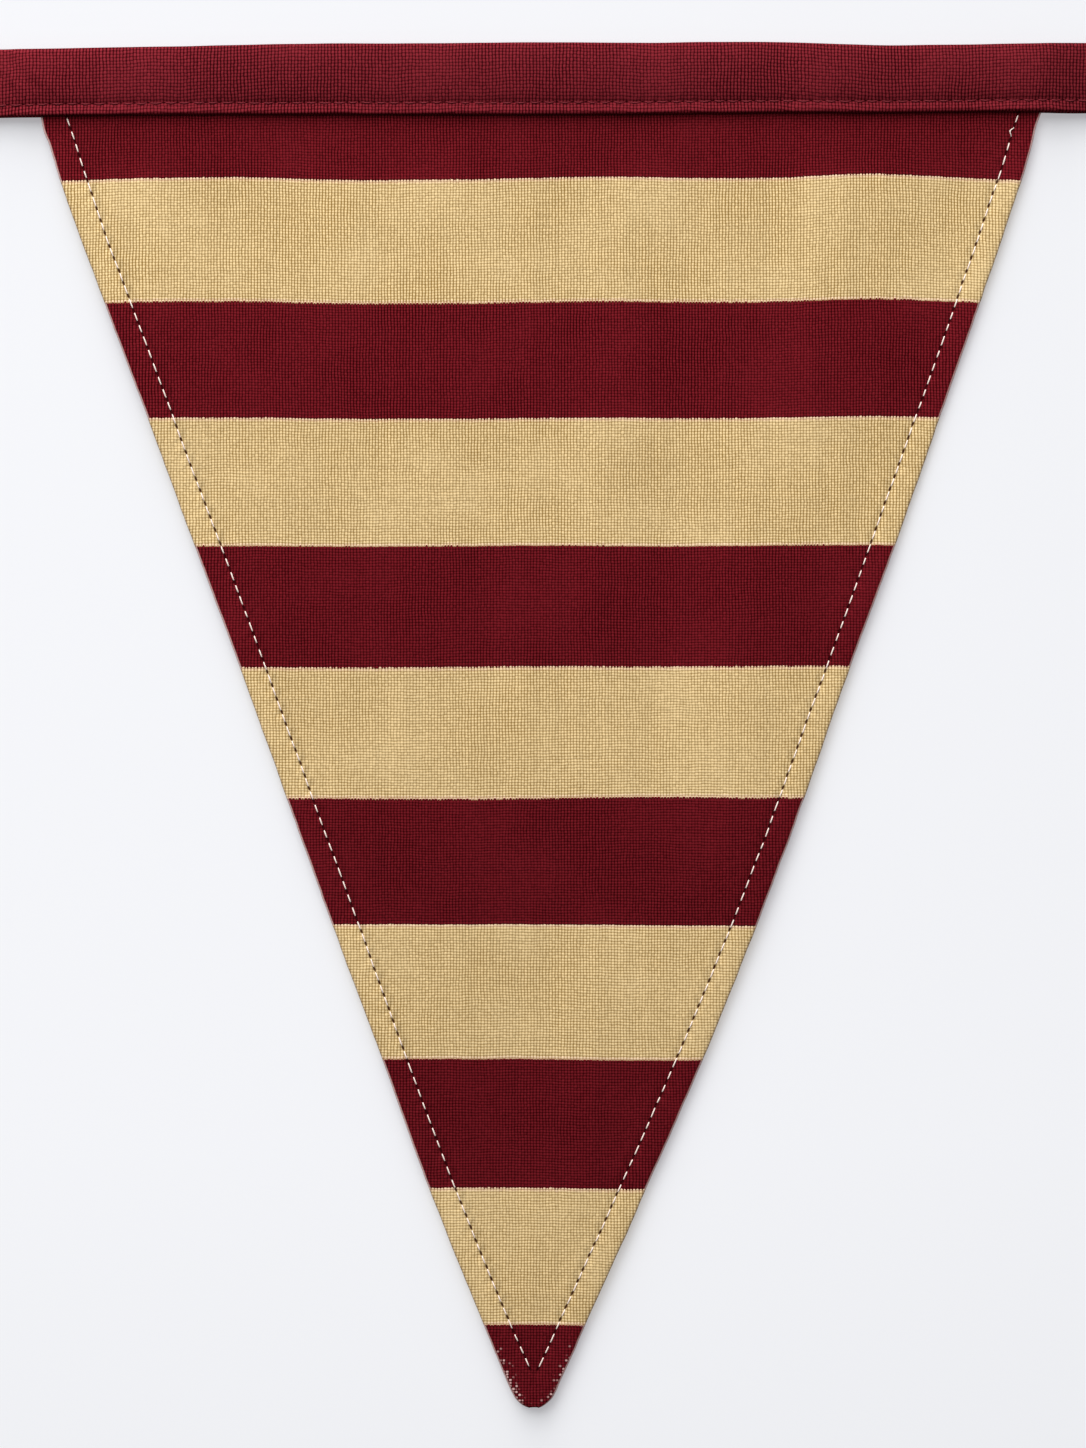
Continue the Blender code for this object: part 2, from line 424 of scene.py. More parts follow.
# Softboxes: name, place and size in metres, power in watts
SOFTBOXES = (
    ("key_softbox", (-0.34, -1.12, 0.72), 1.1, 19.0),
    ("top_softbox", (-0.10, -0.42, 1.15), 0.8, 17.0),
    ("back_softbox", (0.60, 0.95, 0.45), 0.60, 12.0),
)
LIGHT_AIM = (0.0, 0.0, -0.13)
LIGHT_COLOUR = (1.0, 0.995, 0.985)

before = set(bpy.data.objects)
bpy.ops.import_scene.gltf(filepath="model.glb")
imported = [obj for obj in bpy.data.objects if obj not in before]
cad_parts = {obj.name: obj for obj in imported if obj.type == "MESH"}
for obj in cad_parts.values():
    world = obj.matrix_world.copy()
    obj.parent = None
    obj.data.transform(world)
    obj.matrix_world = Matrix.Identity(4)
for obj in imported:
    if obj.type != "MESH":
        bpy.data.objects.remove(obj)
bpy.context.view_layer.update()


def linear_colour(hex_text):
    """Turns an sRGB hex colour into linear red, green, blue and alpha."""
    channels = [int(hex_text[at:at + 2], 16) / 255 for at in (0, 2, 4)]
    linear = [c / 12.92 if c <= 0.04045 else ((c + 0.055) / 1.055) ** 2.4 for c in channels]
    return (*linear, 1.0)


def ease(start, end, value):
    """Rises smoothly from 0 at start to 1 at end."""
    share = np.clip((np.asarray(value, float) - start) / (end - start), 0.0, 1.0)
    return share * share * (3 - 2 * share)


def along(table, position, column=1):
    """Reads a column of a table at one or many positions, on a smooth curve through its rows."""
    rows = np.array(table, float)
    knots = rows[:, 0]
    values = rows[:, column]
    slopes = np.gradient(values, knots)
    at = np.clip(position, knots[0], knots[-1])
    k = np.clip(np.searchsorted(knots, at, side="right") - 1, 0, len(knots) - 2)
    run = knots[k + 1] - knots[k]
    rise = values[k + 1] - values[k]
    t = (at - knots[k]) / run
    bend = t * (1 - t) * ((1 - t) * (slopes[k] * run - rise) - t * (slopes[k + 1] * run - rise))
    return values[k] + rise * t + bend


def unevenness(x, depth, length, seed):
    """Returns soft noise from -1 to 1 over the cloth, with lumps about length across."""
    x, depth = np.broadcast_arrays(np.asarray(x, float), np.asarray(depth, float))
    points = zip((x / length).ravel(), (depth / length).ravel())
    return np.array([noise.noise(Vector((a, b, seed))) for a, b in points]).reshape(x.shape)


def tape_height(x, share):
    """Returns z on the tape: share 0 is its top edge and 1 the lower edge of its front."""
    return along(TAPE_LINE, x, 1) * (1 - share) + along(TAPE_LINE, x, 2) * share


def height(x, depth):
    """Returns z of a point of the pennant's cloth: it follows the tape, then the stripes' soft wave."""
    under_tape = (along(TAPE_LINE, x, 2) + TAPE_DROP) * (1 - ease(TAPE_DROP, STRIPE_EDGES[0], depth))
    rise = ease(TAPE_DROP, STRIPE_EDGES[0], depth) * (1 - ease(STRIPE_EDGES[0], WAVE_END, depth))
    waver = LOWER_WAVER * unevenness(x, depth, length=38.0, seed=7.7)
    lower = ease(STRIPE_EDGES[0], WAVE_END, depth) * waver
    hanging = -depth + under_tape + along(STRIPE_WAVE, x) * rise + lower
    return np.where(depth <= TAPE_DROP, tape_height(x, depth / TAPE_DROP), hanging)


def edges(depth):
    """Returns x of the pennant's left and right folded edges, a little uneven."""
    left = SOFT_WAVER * unevenness(0.0, depth, length=7.0, seed=3.1)
    left = left + FINE_WAVER * unevenness(0.0, depth, length=1.7, seed=5.9)
    right = SOFT_WAVER * unevenness(0.0, depth, length=6.0, seed=8.7)
    right = right + FINE_WAVER * unevenness(0.0, depth, length=1.9, seed=9.3)
    return along(OUTLINE, depth, 1) + left, along(OUTLINE, depth, 2) + right


def seam_insets(depth):
    """Returns how far in from the left and the right edge the stitch lines run."""
    at = np.minimum(depth, SEAM_END)
    from_left = along(SEAM_LINE, at, 1) - along(OUTLINE, at, 1)
    from_right = along(OUTLINE, at, 2) - along(SEAM_LINE, at, 2)
    return from_left, from_right


def swell(x, depth):
    """Returns how far the hanging folds bring the cloth forward."""
    total = np.zeros(np.broadcast(x, depth).shape)
    for x_top, x_bottom, half_width, lift, upper, lower in FOLDS:
        share = np.clip((depth - upper) / (lower - upper), 0.0, 1.0)
        centre = x_top + (x_bottom - x_top) * share
        total += lift * np.exp(-((x - centre) / half_width) ** 2) * np.sin(np.pi * share)
    return total


def front_y(x, depth):
    """Returns y of the middle of the pennant's front layer."""
    left, right = edges(depth)
    inset_left, inset_right = seam_insets(depth)
    inside_left = (x - left) * HEM_PROFILE_SEAM / inset_left
    inside_right = (right - x) * HEM_PROFILE_SEAM / inset_right
    hem = along(HEM_PROFILE, np.minimum(inside_left, inside_right))
    across = (x - left) / (right - left)
    edge = RIGHT_LIFT * ease(0.5, 1.0, across) * ease(*RIGHT_LIFT_RUN, depth)
    tip = TIP_LIFT * ease(*TIP_LIFT_RUN, depth)
    small = SMALL_LUMPS * unevenness(x, depth, length=15.0, seed=1.7)
    hanging = PENNANT_HANG_Y - (hem + swell(x, depth) + edge + tip + small)
    settled = ease(*HANG_RUN, depth)
    return PENNANT_TAPE_Y * (1 - settled) + hanging * settled


def new_piece(name, mesh, material):
    """Makes a piece of a mesh, smooth and in its material, and puts it in the scene."""
    mesh.materials.append(material)
    mesh.shade_smooth()
    piece = bpy.data.objects.new(name, mesh)
    bpy.context.scene.collection.objects.link(piece)
    return piece


def cloth_piece(name, points, maps, keep, material):
    """Makes a sheet of cloth from a grid of points in millimetres, with its maps, and thickens it."""
    rows, columns = points.shape[:2]
    index = np.arange(rows * columns).reshape(rows, columns)
    corners = np.stack([index[:-1, :-1], index[:-1, 1:], index[1:, 1:], index[1:, :-1]], axis=-1)
    faces = corners[keep]
    used, flat = np.unique(faces, return_inverse=True)
    mesh = bpy.data.meshes.new(name)
    mesh.from_pydata((points.reshape(-1, 3)[used] * MM).tolist(), [], flat.reshape(-1, 4).tolist())
    for map_name, values in maps.items():
        layer = mesh.uv_layers.new(name=map_name)
        layer.data.foreach_set("uv", values.reshape(-1, 2)[faces.ravel()].ravel())
    piece = new_piece(name, mesh, material)
    solidify = piece.modifiers.new("cloth thickness", "SOLIDIFY")
    solidify.thickness = CLOTH * MM
    solidify.offset = 0.0
    solidify.use_even_offset = True
    return piece


def needle_holes(length, pitch, seed):
    """Returns where the needle went through along a seam: evenly, but for a sewer's small jitter."""
    random = np.random.default_rng(seed)
    count = round(length / pitch)
    jitter = NEEDLE_JITTER * random.uniform(-1, 1, count + 1)
    jitter[[0, -1]] = 0
    return length / count * (np.arange(count + 1) + jitter)


def stitches_sewn(run, holes, pitch):
    """Returns how many stitches lie before each place along a seam, counted on past its ends."""
    past = 20
    places = np.concatenate([[holes[0] - past * pitch], holes, [holes[-1] + past * pitch]])
    counts = np.concatenate([[-past], np.arange(len(holes)), [len(holes) - 1 + past]])
    return np.interp(run, places, counts)


def side_seam(side):
    """Returns one side's stitch line: depths, x, distance along it, and needle holes."""
    depth = np.linspace(SEAM_LINE[0][0], SEAM_END, SEAM_STEPS)
    inset = seam_insets(depth)[side]
    x = edges(depth)[side] + (inset if side == 0 else -inset)
    run = np.concatenate([[0.0], np.cumsum(np.hypot(np.diff(x), np.diff(depth)))])
    return depth, x, run, needle_holes(run[-1], SIDE_STITCH, seed=20 + side)


def seam_map(depth, distance_from_edge, side, line):
    """Returns the seam map of a column: stitches sewn along the line, and mm inward of it."""
    line_depth, line_x, run, holes = line
    lean = np.interp(depth, line_depth, np.gradient(line_x, line_depth))
    unit = 1 / np.hypot(1, lean)
    offset = distance_from_edge - seam_insets(depth)[side]
    inward = 1 if side == 0 else -1
    below = np.maximum(depth - SEAM_END, 0)
    sewn = np.interp(depth, line_depth, run) + below + inward * offset * lean * unit
    return np.stack([stitches_sewn(sewn, holes, SIDE_STITCH), offset * unit], axis=-1)


def stripe_map(depth, cloth_depth, distance, side):
    """Returns the stripe map of a column: stripes counted down the cloth, and its wear and fold highlight.

    Wear is above 0 where threads are worn pale near the tip, and below 0 along the fold itself, where
    it paints a highlight on the folded edge.
    """
    stripe_depths = (0.0, *STRIPE_EDGES, STRIPE_EDGES[-1] + STRIPE_HEIGHT)
    stripes = np.interp(cloth_depth, stripe_depths, range(len(stripe_depths)))
    near_tip = ease(TIP_WEAR_FROM, TIP_DEPTH, depth)
    at_tip = WEAR_SHARES[side] * near_tip * np.clip(1 - distance / TIP_WEAR, 0, 1)
    # Painted highlight along the folded edge
    fold_highlight = np.clip((FOLD_HIGHLIGHT_WIDTH - distance) / FOLD_HIGHLIGHT_SOFTNESS, 0, 1)
    return np.stack([stripes, at_tip * (1 - fold_highlight) - fold_highlight], axis=-1)


def pennant_rows():
    """Returns the depth of each row of the pennant's grid."""
    in_tape = np.linspace(PENNANT_TOP, HEM_TOP, IN_TAPE_ROWS)
    hanging = np.arange(HEM_TOP + ROW_STEP, TIP_ROWS_FROM, ROW_STEP)
    tip = np.arange(TIP_ROWS_FROM, TIP_DEPTH - TIP_ROW_STEP / 2, TIP_ROW_STEP)
    return np.concatenate([in_tape, hanging, tip, [TIP_DEPTH]])


def hem_stations(reach):
    """Returns a hem's stations, from the flap's free edge round the fold to the front.

    Each is the distance in from the edge, the lift to the back, and the distance along the cloth
    from the fold, which is negative on the back.
    """
    run = reach - FOLD_INSET
    stations = []
    for share in np.linspace(1.0, 0.0, FLAP_COLUMNS + 1):
        distance = FOLD_INSET + run * share
        stations.append((distance, PLY_STEP, -distance))
    for angle in np.linspace(0.0, np.pi, FOLD_COLUMNS + 1)[1:-1]:
        distance = np.full_like(run, FOLD_INSET - FOLD_TURN * np.sin(angle))
        on_cloth = FOLD_INSET * (angle - np.pi / 2) / (np.pi / 2)
        stations.append((distance, FOLD_TURN * (1 + np.cos(angle)), np.full_like(run, on_cloth)))
    for share in np.linspace(0.0, 1.0, MARGIN_COLUMNS + 1)[:-1]:
        distance = FOLD_INSET + run * share
        stations.append((distance, 0.0, distance))
    return stations


def columns_across(left, right):
    """Returns the pennant's columns from left to right, over both hems and the cloth between.

    Each is its x, its lift to the back, its distance along the cloth from the fold, which is
    negative on the back, and the side that it is measured from.
    """
    width = right - left
    reach = np.minimum(HEM_REACH, width / 2 - HEM_CLEARANCE)
    stations = hem_stations(reach)
    columns = []
    for distance, lift, on_cloth in stations:
        columns.append((left + distance, lift, on_cloth, 0))
    for share in np.linspace(0.0, 1.0, INNER_COLUMNS + 1):
        side = 0 if share < 0.5 else 1
        from_left = reach + (width - 2 * reach) * share
        columns.append((left + from_left, 0.0, (from_left, width - from_left)[side], side))
    for distance, lift, on_cloth in reversed(stations):
        columns.append((right - distance, lift, on_cloth, 1))
    return columns


def cloth_map(depth, edge, on_cloth, side):
    """Returns where a column lies on the flat cloth; behind the fold it is mirrored in the edge."""
    inward = 1 if side == 0 else -1
    distance = np.abs(on_cloth)
    slope = np.gradient(edge, depth)
    normal_length = np.hypot(1, slope)
    folded_back = np.where(on_cloth < 0, 2 * inward * distance / normal_length, 0.0)
    across = edge + inward * distance - folded_back / normal_length
    down = depth + folded_back * slope / normal_length
    return np.stack([across, down], axis=-1)


def hems_below_tape(row_count, column_count):
    """Returns which faces of the pennant's grid to keep: its hems start below the tape."""
    keep = np.ones((row_count - 1, column_count - 1), bool)
    in_tape = IN_TAPE_ROWS - 1
    hem_columns = FLAP_COLUMNS + FOLD_COLUMNS
    keep[:in_tape, :hem_columns] = False
    keep[:in_tape, -hem_columns:] = False
    return keep


def build_pennant(material):
    """Makes the pennant: one cloth, its side hems folded to the back."""
    depth = pennant_rows()
    folds = edges(depth)
    lines = (side_seam(0), side_seam(1))
    columns = []
    for x, lift, on_cloth, side in columns_across(*folds):
        distance = np.abs(on_cloth)
        place = np.stack([x, front_y(x, depth) + lift, height(x, depth)], axis=-1)
        cloth = cloth_map(depth, folds[side], on_cloth, side)
        seam = seam_map(depth, distance, side, lines[side])
        stripe = stripe_map(depth, cloth[:, 1], distance, side)
        columns.append((place, cloth, seam, stripe))
    points, cloth, seam, stripe = (np.stack(part, axis=1) for part in zip(*columns))
    maps = {"cloth": cloth, "seam": seam, "stripe": stripe}
    keep = hems_below_tape(len(depth), len(columns))
    return cloth_piece("striped_pennant", points, maps, keep, material)


def tape_fullness(x):
    """Returns how full the tape is at x: 1 where it holds the pennant, less beyond it."""
    return ease(TAPE_SLIM_X, TAPE_FULL_X, np.abs(x))


def tape_front_y(x, share):
    """Returns y of the middle of the tape's front cloth, at a share of its height."""
    full = tape_fullness(x)
    change = 1 + SWELL_CHANGE * unevenness(x, 0.0, length=21.0, seed=4.9)
    swelling = (SLIM_SWELL + (1 - SLIM_SWELL) * full) * change
    creases = 0
    for top_x, run, half_width, lift in END_CREASES:
        creases = creases + lift * np.exp(-((x - top_x - run * share) / half_width) ** 2)
    creases = creases * (1 - ease(*CREASE_FADE, share))
    return TAPE_BACK_Y - (3 + full) * PLY_STEP - along(TAPE_FRONT, share) * swelling - creases


def tape_back_section(low, crown, radius):
    """Returns y and z up the tape's back: its turned-in edge, its face, and the fold over the top."""
    turn = PLY_STEP / 2
    section = []
    for share in reversed(TURNED_IN):
        section.append((TAPE_BACK_Y - PLY_STEP, low + TAPE_TURN_IN * share))
    for angle in np.linspace(0, np.pi, BACK_FOLD_ROWS)[1:-1]:
        section.append((TAPE_BACK_Y - turn - turn * np.cos(angle), low - turn * np.sin(angle)))
    for share in np.linspace(0.0, BACK_FLAT, BACK_ROWS):
        section.append((TAPE_BACK_Y, low + (crown - low) * share))
    for angle in np.linspace(0, np.pi, TOP_FOLD_ROWS):
        section.append((TAPE_BACK_Y - radius + radius * np.cos(angle), crown + radius * np.sin(angle)))
    return section


def tape_front_section(x, top, bottom):
    """Returns y and z down the tape's front: its face, its lip, and its turned-in edge."""
    section = []
    above_seam = np.linspace(*ABOVE_SEAM, FRONT_ROWS)
    seam_and_lip = np.linspace(*SEAM_AND_LIP, FRONT_ROWS)
    for share in np.concatenate([above_seam, seam_and_lip]):
        section.append((tape_front_y(x, share), top + (bottom - top) * share))
    lip_y, lip_z = section[-1]
    inner_y = TAPE_BACK_Y - (2 + tape_fullness(x)) * PLY_STEP
    half = (inner_y - lip_y) / 2
    drop = lip_z - bottom - CLOTH / 2
    for angle in np.linspace(0, np.pi, LIP_ROWS)[1:]:
        section.append((lip_y + half - half * np.cos(angle), lip_z - drop * np.sin(angle)))
    for share in TURNED_IN[1:]:
        section.append((inner_y, lip_z + TAPE_TURN_IN * share))
    return section


def tape_sections(x):
    """Returns the tape's section at each x, as lists of y and z.

    It runs from the turned-in edge of the back, over the top fold and down the front, to the
    turned-in edge of the front.
    """
    top = along(TAPE_LINE, x, 1) + TAPE_TOP_WAVER * unevenness(x, 0.0, length=9.0, seed=2.2)
    bottom = along(TAPE_LINE, x, 2) + TAPE_LIP_WAVER * unevenness(x, 0.0, length=5.0, seed=6.4)
    low = bottom - along(TAPE_LINE, x, 3) + PLY_STEP / 2 + CLOTH / 2
    radius = (TAPE_BACK_Y - tape_front_y(x, TAPE_FRONT[0][0])) / 2
    crown = top - CLOTH / 2 - radius
    section = tape_back_section(low, crown, radius) + tape_front_section(x, top, bottom)
    return [(y + 0 * x, z + 0 * x) for y, z in section]


def tuck_ends(points):
    """Presses the tape's two ends closed, a little narrower than the rest."""
    x, y, z = np.moveaxis(points, -1, 0)
    tucked = ease(TAPE_HALF_LENGTH - END_TUCK, TAPE_HALF_LENGTH, np.abs(x))
    middle_y = TAPE_BACK_Y - 1.5 * PLY_STEP
    middle_z = (along(TAPE_LINE, x, 1) + along(TAPE_LINE, x, 2)) / 2
    y = y + (middle_y - y) * END_CLOSED * tucked
    z = z + (middle_z - z) * END_NARROWED * tucked
    return np.stack([x, y, z], axis=-1)


def tape_holes():
    """Returns x of the needle holes along the tape."""
    return needle_holes(2 * TAPE_HALF_LENGTH, TAPE_STITCH, seed=11) - TAPE_HALF_LENGTH


def build_tape(material):
    """Makes the heading tape."""
    x = np.linspace(-TAPE_HALF_LENGTH, TAPE_HALF_LENGTH, TAPE_COLUMNS + 1)
    y, z = (np.stack(part, axis=1) for part in zip(*tape_sections(x)))
    points = np.stack([np.broadcast_to(x[:, None], y.shape), y, z], axis=-1)
    step = np.hypot(np.diff(y, axis=1), np.diff(z, axis=1))
    across = np.concatenate([np.zeros((len(x), 1)), np.cumsum(step, axis=1)], axis=1)
    cloth = np.stack([points[..., 0], across], axis=-1)
    sewn = stitches_sewn(x, tape_holes(), TAPE_STITCH)
    below_seam = tape_height(x, TAPE_SEAM_SHARE)[:, None] - z
    seam = np.stack([np.broadcast_to(sewn[:, None], z.shape), below_seam], axis=-1)
    keep = np.ones((len(x) - 1, y.shape[1] - 1), bool)
    maps = {"cloth": cloth, "seam": seam}
    return cloth_piece("folded_tape", tuck_ends(points), maps, keep, material)


def stitch_points(start, end, outward, slack, thickness):
    """Returns the rings of points along a stitch of twisted two-ply thread, in millimetres.

    It dips into the holes at its start and its end, and a slack one bows to the side.
    """
    shares = np.linspace(0.0, 1.0, STITCH_RINGS)
    turns = np.linspace(0.0, math.tau, THREAD_SIDES, endpoint=False)
    radius = thickness / 2
    arch = np.sqrt(np.clip(np.sin(np.pi * shares), 0, None))
    rise = radius * (STITCH_RISE * arch - STITCH_DIP)
    rise = rise + BOW_LIFT * abs(slack) * np.sin(np.pi * shares)
    bow = slack * np.sin(np.pi * shares) ** 2
    run = end - start
    sideways = np.cross(run / np.linalg.norm(run), outward)
    middle = start + run * shares[:, None] + outward * rise[:, None] + sideways * bow[:, None]
    twist = turns[None, :] + math.tau * PLY_TURNS * shares[:, None]
    plies = 1 + PLY_DEPTH * np.cos(2 * twist)
    width = radius * (WIDTH_IN_HOLE + (1 - WIDTH_IN_HOLE) * arch)[:, None] * plies
    across = width[..., None] * np.cos(turns)[None, :, None] * sideways
    proud = width[..., None] * np.sin(turns)[None, :, None] * outward * PRESSED
    return (middle[:, None, :] + across + proud).reshape(-1, 3)


def stitch_faces(first):
    """Returns the faces that join a stitch's rings and close its ends; first is its first point."""
    faces = []
    for ring in range(STITCH_RINGS - 1):
        low = first + ring * THREAD_SIDES
        high = low + THREAD_SIDES
        for k in range(THREAD_SIDES):
            after = (k + 1) % THREAD_SIDES
            faces.append((low + k, low + after, high + after, high + k))
    faces.append(tuple(first + k for k in reversed(range(THREAD_SIDES))))
    faces.append(tuple(high + k for k in range(THREAD_SIDES)))
    return faces


def thread_piece(name, stitches, thickness, material):
    """Joins stitches into one piece; each is its start, its end, its outward direction and slack."""
    points = []
    faces = []
    for stitch in stitches:
        faces += stitch_faces(len(points))
        points += stitch_points(*stitch, thickness).tolist()
    mesh = bpy.data.meshes.new(name)
    mesh.from_pydata((np.array(points) * MM).tolist(), [], faces)
    return new_piece(name, mesh, material)


def run_of_stitches(holes, shows, outward, seed, slack=None, bow=0.0):
    """Returns the stitches between needle holes, each short of its holes by an uneven gap."""
    random = np.random.default_rng(seed)
    stitches = []
    for number, (start, end) in enumerate(zip(holes[:-1], holes[1:])):
        gap = (1 - shows) / 2 * random.uniform(*GAP_SPREAD, 2)
        sideways = slack.get(number, bow) if slack else bow
        run = end - start
        stitches.append((start + run * gap[0], end - run * gap[1], outward, sideways))
    return stitches


def side_stitches(to_back):
    """Returns the stitches of both side hems, on the front or on the back."""
    stitches = []
    outward = np.array([0.0, 1.0 if to_back else -1.0, 0.0])
    for side in (0, 1):
        line_depth, line_x, run, holes = side_seam(side)
        depth = np.interp(holes, run, line_depth)
        x = np.interp(holes, run, line_x)
        face = front_y(x, depth) + (PLY_STEP + CLOTH / 2 if to_back else -CLOTH / 2)
        places = np.stack([x, face, height(x, depth)], axis=-1)
        slack = {}
        if side == 1 and not to_back:
            slack[int(np.searchsorted(depth, SLACK_STITCH_DEPTH)) - 1] = SLACK
        stitches += run_of_stitches(places, SIDE_SHOWS, outward, seed=40 + side, slack=slack)
    return stitches


def tape_stitches(to_back):
    """Returns the stitches along the tape and across its ends, on the front or on the back."""
    random = np.random.default_rng(31)
    outward = np.array([0.0, 1.0 if to_back else -1.0, 0.0])
    x = tape_holes()
    x = x[np.abs(x) < END_SEAM_X]
    share = TAPE_SEAM_SHARE + random.uniform(-TAPE_ROW_JITTER, TAPE_ROW_JITTER, len(x))
    rows = [(x, share)]
    for end_x in (-END_SEAM_X, END_SEAM_X):
        share = np.linspace(END_SEAM_TOP, TAPE_SEAM_SHARE, END_SEAM_HOLES)
        rows.append((np.full_like(share, end_x), share))
    stitches = []
    for x, share in rows:
        if to_back:
            y = np.full_like(x, TAPE_BACK_Y + CLOTH / 2)
        else:
            y = tape_front_y(x, share) - CLOTH / 2
        places = np.stack([x, y, tape_height(x, share)], axis=-1)
        stitches += run_of_stitches(places, TAPE_SHOWS, outward, seed=51, bow=TAPE_STITCH_BOW)
    return stitches


def add_node(tree, kind, inputs=None, **settings):
    """Adds a shader node with its settings, sets or links its inputs, and returns its outputs."""
    made = tree.nodes.new("ShaderNode" + kind)
    for key, value in settings.items():
        setattr(made, key, value)
    for key, value in (inputs or {}).items():
        if isinstance(value, bpy.types.NodeSocket):
            tree.links.new(value, made.inputs[key])
        else:
            made.inputs[key].default_value = value
    return made.outputs


def new_material(name):
    """Makes a material with nodes, and returns it with its tree and its shader."""
    material = bpy.data.materials.new(name)
    material.use_nodes = True
    tree = material.node_tree
    return material, tree, tree.nodes["Principled BSDF"]


def thread_bumps(tree, place, arch, warp_on_top, roundness):
    """Adds the height of the threads, from 0 between them to 1 on top.

    The upright threads stand in columns, parted by grooves that are deeper in some regions than in
    others. Their bumps grow rounder down the cloth, and the grooves fill as they do.
    """
    region = add_node(tree, "TexNoise", {"Vector": place, "Scale": 1 / RIBBED_REGION, "Detail": 2.0})[0]
    ribbed = add_node(
        tree, "MapRange",
        {
            "Value": region,
            "From Min": 0.35,
            "From Max": 0.65,
            "To Min": GROOVES[0],
            "To Max": GROOVES[1],
        },
    )[0]
    down = add_node(tree, "SeparateXYZ", {0: place})["Y"]
    rounded = add_node(
        tree, "MapRange",
        {
            "Value": down,
            "From Min": ROUNDER_RUN[0],
            "From Max": ROUNDER_RUN[1],
            "To Min": roundness[0],
            "To Max": roundness[1],
        },
    )[0]
    least = add_node(tree, "Math", {0: rounded, 1: -WARP_SINK, 2: 1.0}, operation="MULTIPLY_ADD")[0]
    filled = add_node(tree, "Math", {0: rounded, 1: GROOVES_FILL_FROM}, operation="SUBTRACT")[0]
    groove = add_node(tree, "Math", {0: arch["X"], 1: ribbed}, operation="POWER")[0]
    column = add_node(tree, "Mix", {"Factor": filled, "A": groove, "B": 1.0})["Result"]
    warp = add_node(tree, "Math", {0: arch["Y"], 1: rounded, 2: least}, operation="MULTIPLY_ADD")[0]
    weft = add_node(
        tree, "Math", {0: arch["Y"], 1: WEFT_RISE, 2: WEFT_LOW}, operation="MULTIPLY_ADD"
    )[0]
    bead = add_node(tree, "Mix", {"Factor": warp_on_top, "A": weft, "B": warp})["Result"]
    return add_node(tree, "Math", {0: column, 1: bead}, operation="MULTIPLY")[0]


def woven_threads(tree, pitch_across, pitch_down, wander, roundness):
    """Adds the plain weave: each crossing is a bump that is long along the thread on top.

    Threads wander a little, and no two crossings or threads are quite alike.
    """
    place = add_node(tree, "UVMap", uv_map="cloth")["UV"]
    drift = add_node(
        tree, "TexNoise",
        {"Vector": place, "Scale": 1 / THREAD_DRIFT, "Detail": 6.0, "Roughness": 0.66},
    )["Color"]
    centred = add_node(tree, "VectorMath", {0: drift, 1: (0.5, 0.5, 0.5)}, operation="SUBTRACT")[0]
    drifted = add_node(
        tree, "VectorMath", {0: centred, 1: (wander, wander, 0.0), 2: place}, operation="MULTIPLY_ADD"
    )[0]
    per_thread = (1 / pitch_across, 1 / pitch_down, 0.0)
    threads = add_node(tree, "VectorMath", {0: drifted, 1: per_thread}, operation="MULTIPLY")[0]
    crossing = add_node(tree, "VectorMath", {0: threads}, operation="FLOOR")[0]
    within = add_node(tree, "VectorMath", {0: threads}, operation="FRACTION")[0]
    half_turn = add_node(tree, "VectorMath", {0: within, "Scale": math.pi}, operation="SCALE")[0]
    arches = add_node(tree, "VectorMath", {0: half_turn}, operation="SINE")[0]
    arch = add_node(tree, "SeparateXYZ", {0: arches})
    number = add_node(tree, "SeparateXYZ", {0: crossing})
    both = add_node(tree, "Math", {0: number["X"], 1: number["Y"]}, operation="ADD")[0]
    warp_on_top = add_node(tree, "Math", {0: both, 1: 2.0}, operation="FLOORED_MODULO")[0]
    smooth = thread_bumps(tree, place, arch, warp_on_top, roundness)

    chance = add_node(tree, "TexWhiteNoise", {"Vector": crossing}, noise_dimensions="2D")["Value"]
    proud = add_node(
        tree, "MapRange", {"Value": chance, "To Min": PROUD[0], "To Max": PROUD[1]}
    )[0]
    uneven = add_node(tree, "Math", {0: smooth, 1: proud}, operation="MULTIPLY")[0]
    fibres = add_node(tree, "TexNoise", {"Vector": place, "Scale": FIBRES_PER_MM, "Detail": 2.0})[0]
    relief = add_node(
        tree, "Math", {0: fibres, 1: FIBRE_RELIEF, 2: uneven}, operation="MULTIPLY_ADD"
    )[0]

    warp_shade = add_node(tree, "TexWhiteNoise", {"W": number["X"]}, noise_dimensions="1D")["Value"]
    weft_shade = add_node(tree, "TexWhiteNoise", {"W": number["Y"]}, noise_dimensions="1D")["Value"]
    yarn = add_node(tree, "Mix", {"Factor": warp_on_top, "A": weft_shade, "B": warp_shade})["Result"]
    return {"relief": relief, "yarn": yarn, "warp": warp_shade, "chance": chance, "place": place}


